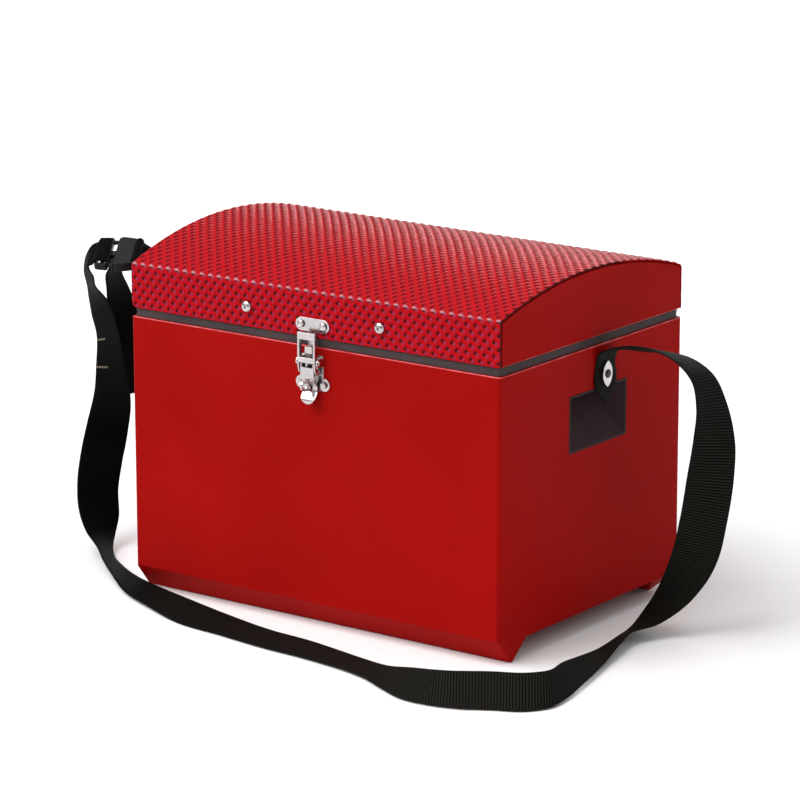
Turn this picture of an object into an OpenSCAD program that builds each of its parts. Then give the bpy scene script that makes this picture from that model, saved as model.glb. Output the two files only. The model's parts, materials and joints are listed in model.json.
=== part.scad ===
// Insulated carry box with a domed hinged lid, a draw latch and a webbing shoulder strap.
// Frame: +Z up, +X to the right, -Y is the front. The origin is on the ground, midway between the
// front of the latch and the back of the hinge.

/* [Box] */
// Width of the box, side to side
body_w = 400; // [320:1:520]
// Depth of the box, front to back
body_d = 283; // [230:1:380]
// Height of the rim above the ground
body_top = 253; // [205:1:340]
// Height of the underside above the ground, between the skids
ground_gap = 17; // [10:1:25]
// Wall of the moulded outer shell
shell_t = 3; // [2:0.5:4]
// Rounding of the upright corners
corner_r = 3; // [1:0.5:8]

/* [Skids] */
// Height of the slanted lower edge at the front and back
skid_rise = 22; // [17:1:30]
// How far the ground line is set back from the face
skid_run = 17; // [10:1:25]
// Width of the strip that touches the ground
skid_flat = 3.5; // [2:0.5:12]
// Length of the slope from the ground up to the underside
skid_slope = 21; // [12:1:30]
// Slant at each end of the back skid
skid_end = 18; // [8:1:30]

/* [Insulation] */
// Width of the shell's flat rim
rim_w = 20; // [12:1:30]
// Thickness of the rim and of the liner's flange
flange_t = 3; // [2:0.5:5]
// Distance from the outside to the liner
liner_inset = 32; // [28:1:42]
// Wall of the inner liner
liner_t = 2.5; // [1.5:0.5:4]
// Foam under the liner's floor
floor_foam = 25; // [15:1:40]
// Width of the rim gasket
gasket_w = 8; // [5:0.5:10]

/* [Lid] */
// Gap between the rim and the lid
lid_gap = 8; // [7:0.5:12]
// Height of the lid's upright sides
lid_side_h = 40; // [30:1:60]
// Rise of the dome above the sides
dome_rise = 22; // [12:1:40]
// Thickness of the vinyl cover
cover_t = 1.3; // [0.8:0.1:2]
// Wall of the lid's moulded shell
lid_t = 2.5; // [2:0.5:4]
// Width and depth of the groove between the cover and an end panel
groove = 1.5; // [0.8:0.1:2.5]
// Depth of the liner's plug below the lid
plug_h = 12; // [6:1:20]
// Gap between the plug and the inner liner
plug_gap = 3.5; // [2:0.5:8]

/* [Grips] */
// Length of a side grip
grip_l = 90; // [70:1:120]
// Height of a side grip
grip_h = 51; // [40:1:65]
// Depth of a side grip
grip_depth = 22; // [15:1:24]
// Distance from the rim down to the grip's top
grip_drop = 38; // [30:1:60]
// How far the grip's centre is behind the box's centre
grip_y = 8; // [-20:1:20]
// Wall of the grip cup
grip_t = 2; // [1:0.5:3]

/* [Hinge] */
// Diameter of the hinge pin
hinge_pin_d = 4; // [3:0.5:5]
// Thickness of a hinge leaf and of its knuckles
leaf_t = 1.5; // [1:0.1:2]
// Height of a hinge leaf
leaf_h = 20; // [15:1:30]
// Number of knuckles, an even number
knuckles = 12; // [6:2:20]
// Distance from the side to the hinge's end
hinge_end = 8; // [5:1:30]
// Number of rivets along a leaf
hinge_rivets = 6; // [3:1:10]

/* [Latch] */
// How far the latch is to the right of the box's centre
latch_x = 4; // [-40:1:40]
// Height of the keeper above the lid's lower edge
keeper_up = 11; // [9:1:16]
// Spacing of the keeper's rivets
keeper_span = 24; // [20:1:32]
// Height of the keeper plate
keeper_h = 12; // [10:1:16]
// Distance from the rim down to the lever's pin
pin_drop = 12.5; // [10:0.5:16]
// Distance from the rim down to the base's ears
ear_drop = 32.5; // [28:0.5:40]
// Spacing of the base's ears
ear_span = 25; // [24:1:32]
// Thickness of the latch's pressed steel
latch_t = 1.4; // [1:0.1:1.8]
// Diameter of the latch's pins
latch_pin_d = 3; // [2:0.5:4]
// Length of the lever below its pin
lever_l = 37; // [32:1:45]
// Radius of the hole in the padlock staple
staple_hole_r = 3; // [2.5:0.1:3.5]

/* [Lid rivets] */
// Distance of each lid rivet from the latch's centre
lid_rivet_x = 72; // [40:1:120]
// Height of the lid rivets above the lid's lower edge
lid_rivet_up = 18; // [12:1:25]
// Diameter of a lid rivet's head
lid_rivet_d = 10; // [8:0.5:14]

/* [Strap] */
// Width of the webbing
strap_w = 40; // [30:1:50]
// Thickness of the webbing
strap_t = 2; // [1:0.5:3]
// Distance from the rim down to the strap's rivet
anchor_drop = 27; // [22:1:40]
// How far the strap's rivet is behind the box's centre
anchor_y = 17; // [-20:1:30]
// Height of the lens-shaped anchor plate
plate_h = 24; // [18:1:30]
// Width of the lens-shaped anchor plate
plate_w = 14.5; // [10:0.5:20]

/* [Hidden] */
$fn = 64;
fit = 0.05;          // running fit of a pin in its hole, on the radius
play = 0.4;          // clearance between parts that pass each other
eps = 0.01;

half_w = body_w / 2;
half_d = body_d / 2;
shell_in_z = ground_gap + shell_t;
rim_under = body_top - flange_t;
liner_floor = shell_in_z + floor_foam;
lid_z = body_top + lid_gap;
lid_side_top = lid_z + lid_side_h;
lid_flange_top = lid_z + flange_t;
plug_inset = liner_inset + liner_t + plug_gap;
plug_low = lid_z - plug_h;

grip_top = body_top - grip_drop;
grip_z = grip_top - grip_h / 2;
grip_back_h = 8;     // height of the grip's upright back, above its slope
grip_draft = 12;     // how far each end of the grip slants inwards

hinge_z = body_top + lid_gap / 2;
hinge_r = hinge_pin_d / 2 + leaf_t;
hinge_y = half_d + hinge_r;
hinge_l = body_w - 2 * hinge_end;
knuckle_l = hinge_l / knuckles;
hinge_rivet_z = leaf_h * 0.55;

rivet_r = 1.6;       // shank of the small rivets
rivet_head_r = 3.2;
rivet_head_h = 1.4;
tail_h = 1.6;        // formed tail of a rivet, inside the wall
tail_r = 3;

anchor_z = body_top - anchor_drop;
anchor_plate_t = 1.2;
anchor_rivet_r = 2.5;
anchor_head_r = 4;
washer_r = 9;
washer_t = 1.5;

// Latch, measured as [out from the front face, height]
pin_at = [6.5, body_top - pin_drop];
claw_pin_at = pin_at + [-1.7, -9.2];
ear_z = body_top - ear_drop;
keeper_z = lid_z + keeper_up;
ear_r = 5.8;
lever_half = 7.2;    // half width of the lever's web
tip_r = 8;
cheek_in = lever_half - latch_t;
flange_in = lever_half + play + 0.4;
flange_out = flange_in + latch_t;
lug_in = flange_out + play + 0.4;
lug_out = lug_in + latch_t;
pin_r = latch_pin_d / 2;
web_h = pin_at[0] + pin_r;                // back face of the lever's web
web_top = pin_at[1] - 4.4;
claw_h = web_h + latch_t - 0.2;           // back face of the claw's plate
claw_top = keeper_z - keeper_h / 2 + 1;
claw_low = pin_at[1] - 0.4;
window_top = claw_top - 6.4;
window_low = claw_low + 4.8;
hook_low = window_low + 2;
hook_h = claw_h - 1.9;                    // front of the keeper's hook
staple_r = staple_hole_r + 2;
staple_out = web_h + latch_t + 0.6 + staple_hole_r;
box_y = (staple_out + staple_r) / 2 - hinge_r;    // place of the box's centre in the frame

// Shoulder strap, about the box's centre: [x, y, z, then the width vector across the webbing]
strap_route = [
    [201.6, 17, 200, 0, 2, 0], [201.6, 17, 212, 0, 28, 0], [201.6, 17, 239, 0, 30, 0],
    [204, 17, 245, 0, 31, -1], [213, 16, 249, -1, 33, -4], [230, 15, 252, -3, 36, -11],
    [258, 14, 254, -4, 38, -11], [284, 14, 249, -4, 39, -7], [302, 14, 236, -2, 40, -4],
    [311, 14, 214, 6, 39, -4], [314, 14, 184, 20, 34, -4], [311, 14, 150, 31, 25, -3],
    [305, 14, 112, 33, 21, -8], [297, 15, 80, 34, 19, -7], [283, 18, 52, 37, 8, -3],
    [265, 20, 28, 36, -12, -2], [252, 12, 13, 32, -24, 3], [247, -8, 8, 23, -31, 9],
    [252, -34, 7, 23, -32, 6], [260, -72, 5, 25, -30, 0], [275, -132, 9, 25, -27, -12],
    [284, -170, 12, 22, -25, -20], [286, -192, 12, 19, -25, -21], [274, -211, 12, 18, -26, -22],
    [250, -224, 12, 18, -26, -22], [220, -240, 12, 18, -27, -20], [176, -242, 9, 14, -33, -15],
    [145, -230, 5, 17, -34, -7], [116, -217, 3, 19, -34, -2], [42, -203, 3, 19, -34, -2],
    [-5, -200, 3, 18, -34, -3], [-57, -193, 4, 17, -35, -5], [-108, -187, 6, 14, -34, -10],
    [-156, -168, 5, 12, -36, -5], [-202, -147, 4, 14, -36, -2], [-240, -122, 5, 16, -35, 4],
    [-265, -104, 7, 16, -35, 8], [-286, -85, 11, 11, -36, 10], [-302, -72, 19, -5, -36, 10],
    [-314, -60, 32, -21, -32, 9], [-325, -48, 56, -25, -29, 10], [-329, -38, 77, -30, -24, 10],
    [-330, -27, 105, -29, -24, 11], [-327, -22, 136, -38, -7, 5], [-330, -20, 164, -39, 4, -6],
    [-335, -18, 197, -36, 11, -11], [-342, -18, 217, -34, 12, -15], [-347, -19, 228, -33, 18, -12],
    [-352, -20, 239, -30, 23, -7], [-355, -20, 251, -31, 23, -1], [-356, -20, 261, -26, 28, 7],
    [-354, -19, 267, -21, 31, 12], [-349, -15, 270, -18, 32, 14]];
// Free end of the strap, hanging from the buckle
tail_route = [
    [-335, -6, 260.5, -15, 36, 6], [-337, -5, 252, -13, 37, -2], [-337, 1, 233, -5, 38, -5],
    [-336, 6, 211, 4, 39, -4], [-334, 7, 168, 4, 39, -2], [-333, 8, 131, 4, 39, -2]];
// Short strap from the left anchor to the buckle
stub_route = [
    [-201.6, 17, 200, 0, 2, 0], [-201.6, 17, 212, 0, 28, 0], [-201.6, 17, 239, 0, 30, 0],
    [-204, 17, 245, 0, 31, 1], [-214, 18, 249, 0, 34, 4], [-236, 19, 253, 0, 36, 6],
    [-262, 18, 256, -2, 38, 8], [-283, 15, 258, -7, 37, 9], [-300, 11, 262, -12, 35, 10],
    [-313.3, 6.6, 269, -18, 32, 14]];
buckle_at = [-333, -5, 269];
buckle_turn = 30;
buckle_tilt = 20.7;
buckle_w = 48;
buckle_t = 9;
socket_l = 22;
prong_l = 18;
prong_gap = 5;
arm_w = 4;
arm_t = 3;

// ---------- helpers ----------

// Everything is drawn about the box's centre and moved into the frame here
module in_frame() {
    translate([0, box_y, 0]) children();
}

// Rectangle with rounded corners, centred
module round_rect(w, d, r) {
    square([w - 2 * r, d], center = true);
    square([w, d - 2 * r], center = true);
    for (sx = [-1, 1], sy = [-1, 1])
        translate([sx * (w / 2 - r), sy * (d / 2 - r)]) circle(r);
}

// Upright block of the box's plan, set in from the outside, between two heights
module plan_block(inset, z0, z1) {
    translate([0, 0, z0]) linear_extrude(z1 - z0)
        round_rect(body_w - 2 * inset, body_d - 2 * inset, max(corner_r - inset, 1));
}

// Outline in [y, z] drawn along X between two places
module along_x(x0, x1) {
    translate([x0, 0, 0]) rotate([90, 0, 90]) linear_extrude(x1 - x0) children();
}

// Outline in [out, z] on the front face, drawn sideways between two distances from the latch's centre
module latch_slab(x0, x1) {
    translate([latch_x + x0, -half_d, 0]) rotate([90, 0, 90]) linear_extrude(x1 - x0)
        mirror([1, 0]) children();
}

module latch_pair(x0, x1) {
    latch_slab(x0, x1) children();
    latch_slab(-x1, -x0) children();
}

// Plate on the front face, its outline in [x from the latch's centre, z]
module front_plate(h0, h1) {
    translate([latch_x, -half_d - h0, 0]) rotate([90, 0, 0]) linear_extrude(h1 - h0) children();
}

// Round rod along Y, outwards from the front face
module front_rod(x, z, h0, h1, r) {
    translate([x, -half_d - h0, z]) rotate([90, 0, 0]) cylinder(h = h1 - h0, r = r);
}

// Dome on the front face: a slice of a ball that is r wide and h tall
module front_dome(x, z, h0, r, h) {
    ball = (r * r + h * h) / (2 * h);
    translate([x, -half_d - h0, z]) rotate([90, 0, 0]) intersection() {
        translate([0, 0, h - ball]) sphere(ball);
        cylinder(h = h, r = r);
    }
}

// Rivet through the front face: head outside, tail inside
module front_rivet(x, z, h0, depth, shank, head_r, head_h) {
    front_dome(x, z, h0, head_r, head_h);
    front_rod(x, z, -depth - tail_h, h0, shank);
    front_rod(x, z, -depth - tail_h, -depth, shank + 1.4);
}

function unit(v) = v / norm(v);
function centre_of(p) = [p[0], p[1], p[2]];
function width_of(p) = [p[3], p[4], p[5]];

// Corners of the webbing's section at one station of its route
function ring_at(route, i) =
    let (last = len(route) - 1,
         ahead = centre_of(route[min(i + 1, last)]) - centre_of(route[max(i - 1, 0)]),
         half = width_of(route[i]) / 2,
         face = unit(cross(ahead, half)) * strap_t / 2,
         mid = centre_of(route[i]))
    [mid + half + face, mid - half + face, mid - half - face, mid + half - face];

// Webbing that follows a route
module webbing(route) {
    n = len(route);
    points = [for (i = [0 : n - 1]) each ring_at(route, i)];
    // opposite faces are split along the same diagonal, so that the webbing keeps its thickness
    sides = [for (i = [0 : n - 2], k = [0 : 3])
        let (a = 4 * i + k, b = 4 * i + (k + 1) % 4)
        each (k < 2 ? [[a, b, b + 4], [a, b + 4, a + 4]] : [[a, b, a + 4], [b, b + 4, a + 4]])];
    last = 4 * (n - 1);
    caps = [[2, 1, 0], [3, 2, 0], [last, last + 1, last + 2], [last, last + 2, last + 3]];
    polyhedron(points = points, faces = concat(sides, caps));
}

// ---------- box ----------

// Skid outline in [distance in from its face, height]
module skid_outline() {
    foot = skid_run + skid_flat;
    polygon([[0, 0], [foot, 0], [foot + skid_slope, ground_gap], [foot + skid_slope, ground_gap + 1],
        [0, ground_gap + 1]]);
}

module skids() {
    translate([0, -half_d, 0]) along_x(-half_w, half_w) skid_outline();
    intersection() {
        translate([0, half_d, 0]) mirror([0, 1, 0]) along_x(-half_w, half_w) skid_outline();
        rotate([90, 0, 0]) linear_extrude(body_d + 2, center = true)
            polygon([[-half_w, ground_gap], [-half_w + skid_end, 0], [half_w - skid_end, 0],
                [half_w, ground_gap], [half_w, skid_rise + 1], [-half_w, skid_rise + 1]]);
    }
}

// Everything under the slanted front and back lower edges
module edge_cut() {
    for (side = [0, 1]) mirror([0, side, 0]) translate([0, -half_d, 0])
        along_x(-half_w - 1, half_w + 1)
            polygon([[-1, -1], [-1, skid_rise], [0, skid_rise], [skid_run, 0], [skid_run, -1]]);
}

// Grip shape on the right side, grown by g
module grip_block(g) {
    y0 = -grip_l / 2 + grip_t - g;
    z0 = grip_top - grip_h + grip_t - g;
    z1 = grip_top - grip_t + g;
    depth = grip_depth + g;
    translate([half_w, grip_y, 0]) intersection() {
        rotate([90, 0, 0]) linear_extrude(grip_l * 2, center = true)
            polygon([[2, z0], [0, z0], [-depth, z1 - grip_back_h], [-depth, z1], [2, z1]]);
        translate([0, 0, grip_top - 2 * grip_h]) linear_extrude(grip_h * 3)
            polygon([[2, y0], [0, y0], [-depth, y0 + grip_draft], [-depth, -y0 - grip_draft],
                [0, -y0], [2, -y0]]);
    }
}

module both_sides() {
    children();
    mirror([1, 0, 0]) children();
}

module anchor_holes(r) {
    both_sides() translate([half_w - liner_inset, anchor_y, anchor_z]) rotate([0, 90, 0])
        cylinder(h = liner_inset + 1, r = r);
}

function leaf_rivet_x(i) = -hinge_l / 2 + hinge_l * (i + 0.5) / hinge_rivets;

// Rods along Y at the hinge's rivets, from a depth inside the back face to outside it
module back_rods(z, inner, outer, r) {
    for (i = [0 : hinge_rivets - 1])
        translate([leaf_rivet_x(i), half_d + outer, z]) rotate([90, 0, 0])
            cylinder(h = inner + outer, r = r);
}

module body_shell() {
    color([0.62, 0.05, 0.05]) in_frame() difference() {
        union() {
            difference() {
                plan_block(0, ground_gap, body_top);
                difference() {
                    plan_block(shell_t, shell_in_z, rim_under);
                    edge_backing();
                }
                plan_block(rim_w, rim_under - 1, body_top + 1);
            }
            skids();
        }
        edge_cut();
        both_sides() grip_block(grip_t);
        anchor_holes(anchor_rivet_r);
        for (side = [-1, 1])
            front_rod(latch_x + side * ear_span / 2, ear_z, -shell_t - 1, 1, rivet_r);
        back_rods(body_top - hinge_rivet_z, shell_t + 1, 1, rivet_r);
    }
}

// Wall behind the slanted lower edges, shared by the shell and the foam
module edge_backing() {
    for (side = [0, 1]) mirror([0, side, 0]) translate([0, -half_d, 0])
        along_x(-half_w, half_w)
            polygon([[0, 0], [0, skid_rise + shell_t + 2], [shell_t, skid_rise + shell_t + 2],
                [skid_run, shell_in_z], [skid_run, 0]]);
}

module body_foam() {
    color([0.93, 0.9, 0.75]) in_frame() difference() {
        plan_block(shell_t, shell_in_z, rim_under);
        edge_backing();
        plan_block(liner_inset, liner_floor, body_top);
        both_sides() grip_block(grip_t);
        anchor_holes(washer_r + 1);
        for (side = [-1, 1])
            front_rod(latch_x + side * ear_span / 2, ear_z, -shell_t - 4, 0, tail_r + 1);
        back_rods(body_top - hinge_rivet_z, shell_t + 4, 0, tail_r + 1);
    }
}

module inner_liner() {
    color([0.94, 0.94, 0.92]) in_frame() difference() {
        union() {
            plan_block(liner_inset, liner_floor, body_top);
            plan_block(rim_w, rim_under, body_top);
        }
        plan_block(liner_inset + liner_t, liner_floor + liner_t, body_top + 1);
    }
}

module rim_gasket() {
    color([0.1, 0.09, 0.09]) in_frame() difference() {
        plan_block(rim_w + 1, body_top, lid_z - play);
        plan_block(rim_w + 1 + gasket_w, body_top - 1, lid_z);
    }
}

module grip_cup_right() {
    color([0.12, 0.1, 0.1]) in_frame() difference() {
        intersection() {
            grip_block(grip_t);
            translate([0, -half_d, 0]) cube([half_w, body_d, body_top]);
        }
        grip_block(0);
    }
}

module grip_cup_left() {
    mirror([1, 0, 0]) grip_cup_right();
}

// ---------- lid ----------

// Lid's outline in [y, z], set in from the outside
module lid_outline(inset, z0) {
    chord = half_d;
    arc_r = (chord * chord + dome_rise * dome_rise) / (2 * dome_rise);
    intersection() {
        translate([-half_d + inset, z0]) square([body_d - 2 * inset, lid_side_h + dome_rise * 2]);
        translate([0, lid_side_top + dome_rise - arc_r]) circle(arc_r - inset, $fn = 180);
    }
}

module lid_holes(inner, r) {
    for (side = [-1, 1])
        front_rod(latch_x + side * lid_rivet_x, lid_z + lid_rivet_up, -inner, 1, r);
}

module keeper_holes(inner, r) {
    for (side = [-1, 1])
        front_rod(latch_x + side * keeper_span / 2, keeper_z, -inner, 1, r);
}

module lid_shell() {
    skin = cover_t + lid_t;
    color([0.62, 0.05, 0.05]) in_frame() difference() {
        union() {
            along_x(-half_w + groove, half_w - groove) lid_outline(cover_t, lid_z);
            along_x(-half_w, half_w) lid_outline(cover_t + groove, lid_z);
        }
        along_x(-half_w + lid_t, half_w - lid_t) lid_outline(skin, lid_flange_top);
        plan_block(rim_w, lid_z - 1, lid_flange_top + 1);
        lid_holes(skin + 1, rivet_r);
        keeper_holes(skin + 1, rivet_r);
        back_rods(lid_z + hinge_lid_up(), skin + 1, 1, rivet_r);
    }
}

// Height of the lid leaf's rivets above the lid's lower edge
function hinge_lid_up() = hinge_rivet_z;

module lid_cover() {
    color([0.72, 0.06, 0.06]) in_frame() difference() {
        along_x(-half_w, half_w) lid_outline(0, lid_z);
        along_x(-half_w - 1, half_w + 1) lid_outline(cover_t, lid_z - 1);
        lid_holes(cover_t + 1, rivet_r);
        keeper_holes(cover_t + 1, rivet_r);
        back_rods(lid_z + hinge_lid_up(), cover_t + 1, 1, rivet_r);
    }
}

module lid_foam() {
    skin = cover_t + lid_t;
    color([0.93, 0.9, 0.75]) in_frame() difference() {
        union() {
            along_x(-half_w + lid_t, half_w - lid_t) lid_outline(skin, lid_flange_top);
            plan_block(plug_inset + liner_t, plug_low + liner_t, lid_flange_top + eps);
        }
        lid_holes(skin + 4, tail_r + 1);
        keeper_holes(skin + 4, tail_r + 1);
        back_rods(lid_z + hinge_lid_up(), skin + 4, 0, tail_r + 1);
    }
}

module lid_liner() {
    color([0.94, 0.94, 0.92]) in_frame() difference() {
        union() {
            plan_block(rim_w, lid_z, lid_flange_top);
            plan_block(plug_inset, plug_low, lid_z + eps);
        }
        plan_block(plug_inset + liner_t, plug_low + liner_t, lid_flange_top + 1);
    }
}

module lid_rivets() {
    color([0.8, 0.8, 0.82]) in_frame() for (side = [-1, 1])
        front_rivet(latch_x + side * lid_rivet_x, lid_z + lid_rivet_up, 0, cover_t + lid_t,
            rivet_r, lid_rivet_d / 2, 2.2);
}

// ---------- hinge ----------

function knuckle_x(i) = -hinge_l / 2 + i * knuckle_l;

// Knuckles of one leaf: part 0 belongs to the body, part 1 to the lid
module knuckle_row(part) {
    for (i = [part : 2 : knuckles - 1]) {
        side = part == 0 ? -1 : 1;
        z0 = part == 0 ? hinge_z - lid_gap / 2 - eps : hinge_z;
        translate([knuckle_x(i) + play / 2, 0, 0]) {
            translate([0, hinge_y, hinge_z]) rotate([0, 90, 0])
                cylinder(h = knuckle_l - play, r = hinge_r);
            translate([0, half_d, z0]) cube([knuckle_l - play, leaf_t, lid_gap / 2 + eps]);
        }
    }
}

module pin_bore() {
    translate([-hinge_l / 2 - 1, hinge_y, hinge_z]) rotate([0, 90, 0])
        cylinder(h = hinge_l + 2, r = hinge_pin_d / 2 + fit);
}

module hinge_leaf_body() {
    color([0.75, 0.75, 0.77]) in_frame() difference() {
        union() {
            knuckle_row(0);
            translate([-hinge_l / 2, half_d, body_top - leaf_h]) cube([hinge_l, leaf_t, leaf_h]);
        }
        pin_bore();
        back_rods(body_top - hinge_rivet_z, 1, leaf_t + 1, rivet_r);
    }
}

module hinge_leaf_lid() {
    color([0.75, 0.75, 0.77]) in_frame() difference() {
        union() {
            knuckle_row(1);
            translate([-hinge_l / 2, half_d, lid_z]) cube([hinge_l, leaf_t, leaf_h]);
        }
        pin_bore();
        back_rods(lid_z + hinge_lid_up(), 1, leaf_t + 1, rivet_r);
    }
}

module hinge_pin() {
    color([0.7, 0.7, 0.72]) in_frame() translate([-hinge_l / 2 - 1, hinge_y, hinge_z]) rotate([0, 90, 0])
        cylinder(h = hinge_l + 2, r = hinge_pin_d / 2);
}

// Row of rivets through the back face
module back_rivets(z, depth) {
    ball = (rivet_head_r * rivet_head_r + rivet_head_h * rivet_head_h) / (2 * rivet_head_h);
    back_rods(z, depth + tail_h, leaf_t, rivet_r);
    back_rods(z, depth + tail_h, -depth, tail_r);
    for (i = [0 : hinge_rivets - 1])
        translate([leaf_rivet_x(i), half_d + leaf_t, z]) rotate([-90, 0, 0]) intersection() {
            translate([0, 0, rivet_head_h - ball]) sphere(ball);
            cylinder(h = rivet_head_h, r = rivet_head_r);
        }
}

module hinge_rivets_body() {
    color([0.8, 0.8, 0.82]) in_frame() back_rivets(body_top - hinge_rivet_z, shell_t);
}

module hinge_rivets_lid() {
    color([0.8, 0.8, 0.82]) in_frame() back_rivets(lid_z + hinge_lid_up(), cover_t + lid_t);
}

// ---------- latch ----------

module at_latch(p, r) {
    translate(p) circle(r);
}

module latch_base() {
    color([0.8, 0.8, 0.82]) in_frame() difference() {
        union() {
            front_plate(0, latch_t) base_outline();
            latch_pair(lug_in, lug_out) {
                at_latch(pin_at, pin_r + 2.3);
                translate([0, pin_at[1] - pin_r - 2.3]) square([pin_at[0], latch_pin_d + 4.6]);
            }
            latch_slab(-1, 1) staple_outline();
        }
        for (side = [-1, 1])
            front_rod(latch_x + side * ear_span / 2, ear_z, -1, latch_t + 1, rivet_r);
        latch_slab(-lug_out - 1, lug_out + 1) at_latch(pin_at, pin_r + fit);
    }
}

// Base plate: an upright strip between the lugs, with a round ear at each side
module base_outline() {
    plate_top = hook_low - 1;
    translate([-lug_out, ear_z - 2]) square([2 * lug_out, plate_top - ear_z + 2]);
    translate([-8, ear_z - 6]) square([16, 12]);
    for (side = [-1, 1]) translate([side * ear_span / 2, ear_z]) circle(ear_r);
}

module staple_outline() {
    difference() {
        union() {
            translate([0, ear_z - staple_r]) square([staple_out, 2 * staple_r]);
            translate([staple_out, ear_z]) circle(staple_r);
        }
        translate([staple_out, ear_z]) circle(staple_hole_r);
    }
}

module latch_base_rivets() {
    color([0.8, 0.8, 0.82]) in_frame() for (side = [-1, 1])
        front_rivet(latch_x + side * ear_span / 2, ear_z, latch_t, shell_t, rivet_r,
            rivet_head_r, rivet_head_h);
}

module lever_pin() {
    color([0.7, 0.7, 0.72]) in_frame() {
        latch_slab(-lug_out - 1, lug_out + 1) at_latch(pin_at, pin_r);
        latch_pair(lug_out, lug_out + 1) at_latch(pin_at, pin_r + 0.8);
    }
}

module lever_outline() {
    tip_z = pin_at[1] - lever_l + tip_r;
    difference() {
        union() {
            translate([-lever_half, tip_z]) square([2 * lever_half, web_top - tip_z]);
            translate([0, tip_z]) circle(tip_r);
        }
        translate([-2, ear_z - staple_r - 1.6]) square([4, 2 * staple_r + 2.4]);
    }
}

module latch_lever() {
    front = web_h + latch_t;
    color([0.82, 0.82, 0.84]) in_frame() difference() {
        union() {
            front_plate(web_h, front) lever_outline();
            latch_pair(cheek_in, lever_half) {
                at_latch(pin_at, pin_r + 0.8);
                at_latch(claw_pin_at, pin_r + 1.1);
                polygon([pin_at + [-pin_r - 0.8, 0], pin_at + [pin_r + 0.8, 0], [front - 0.1, web_top],
                    [front - 0.1, ear_z + 2], [web_h, ear_z + 2], claw_pin_at - [2.2, 1.4],
                    claw_pin_at - [pin_r + 1.1, 0]]);
            }
        }
        latch_slab(-lever_half - 1, lever_half + 1) at_latch(pin_at, pin_r + fit);
        latch_slab(-lever_half - 1, lever_half + 1) at_latch(claw_pin_at, pin_r);
    }
}

module claw_pin() {
    color([0.7, 0.7, 0.72]) in_frame() latch_slab(-flange_out - 0.4, flange_out + 0.4)
        at_latch(claw_pin_at, pin_r);
}

module latch_claw() {
    front = claw_h + latch_t;
    back = pin_at[0] + pin_r + 0.7;
    color([0.85, 0.85, 0.87]) in_frame() difference() {
        union() {
            front_plate(claw_h, front) difference() {
                translate([-flange_out, claw_low]) square([2 * flange_out, claw_top - claw_low]);
                translate([-flange_in + 0.6, window_low])
                    square([2 * flange_in - 1.2, window_top - window_low]);
            }
            latch_pair(flange_in, flange_out) {
                at_latch(claw_pin_at, pin_r + 1.1);
                polygon([[front - 0.1, window_top + 1], [pin_at[0] - 1.5, window_top + 1],
                    [pin_at[0] - 1.5, pin_at[1] + 5.6], [back, pin_at[1] + 3], [back, pin_at[1] - 4],
                    claw_pin_at + [0, pin_r + 1.1], claw_pin_at - [0, pin_r + 1.1],
                    [front - 1.6, claw_pin_at[1]], [front - 0.1, pin_at[1] - 4]]);
            }
        }
        latch_slab(-flange_out - 1, flange_out + 1) at_latch(claw_pin_at, pin_r + fit);
    }
}

module latch_keeper() {
    strip = 1.2;
    jog = 1;
    plate_low = keeper_z - keeper_h / 2;
    color([0.8, 0.8, 0.82]) in_frame() difference() {
        union() {
            front_plate(0, latch_t) {
                translate([-keeper_span / 2, plate_low]) square([keeper_span, keeper_h]);
                for (side = [-1, 1]) translate([side * keeper_span / 2, keeper_z])
                    circle(keeper_h / 2);
            }
            latch_slab(-4, 4) polygon([[0, plate_low + 1], [latch_t, plate_low + 1],
                [jog + strip, plate_low - 1], [jog + strip, hook_low + 2],
                [jog + strip + 0.8, hook_low + strip], [hook_h - strip - 0.6, hook_low + strip],
                [hook_h - strip, hook_low + strip + 0.6], [hook_h - strip, hook_low + 7],
                [hook_h, hook_low + 7], [hook_h, hook_low + 1.2], [hook_h - 1.2, hook_low],
                [jog + 1.4, hook_low], [jog, hook_low + 1.6], [jog, plate_low - 1.4],
                [0, plate_low - 0.4]]);
        }
        keeper_holes(1, rivet_r);
        for (side = [-1, 1])
            front_rod(latch_x + side * keeper_span / 2, keeper_z, -1, latch_t + 1, rivet_r);
    }
}

module keeper_rivets() {
    color([0.8, 0.8, 0.82]) in_frame() for (side = [-1, 1])
        front_rivet(latch_x + side * keeper_span / 2, keeper_z, latch_t, cover_t + lid_t, rivet_r,
            rivet_head_r + 0.4, rivet_head_h);
}

// ---------- strap ----------

// Lens-shaped plate over the strap's end
module anchor_plate_right() {
    arc = (plate_h * plate_h + plate_w * plate_w) / (4 * plate_w);
    face = half_w + 0.6 + strap_t;
    color([0.9, 0.9, 0.92]) in_frame() difference() {
        translate([face, anchor_y, anchor_z]) rotate([0, 90, 0]) linear_extrude(anchor_plate_t)
            intersection_for (side = [-1, 1])
                translate([0, side * (arc - plate_w / 2)]) circle(arc);
        anchor_holes_out();
    }
}

module anchor_holes_out() {
    translate([half_w, anchor_y, anchor_z]) rotate([0, 90, 0]) cylinder(h = 10, r = anchor_rivet_r);
}

module anchor_plate_left() {
    mirror([1, 0, 0]) anchor_plate_right();
}

module anchor_rivets() {
    face = half_w + 0.6 + strap_t + anchor_plate_t;
    inner = half_w - shell_t - washer_t;
    color([0.1, 0.1, 0.11]) in_frame() both_sides() {
        translate([face, anchor_y, anchor_z]) rotate([0, 90, 0])
            cylinder(h = 1.6, r1 = anchor_head_r, r2 = anchor_head_r - 1.2);
        translate([inner - tail_h, anchor_y, anchor_z]) rotate([0, 90, 0])
            cylinder(h = face - inner + tail_h, r = anchor_rivet_r);
        translate([inner - tail_h, anchor_y, anchor_z]) rotate([0, 90, 0])
            cylinder(h = tail_h, r = anchor_rivet_r + 1.5);
    }
}

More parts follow.
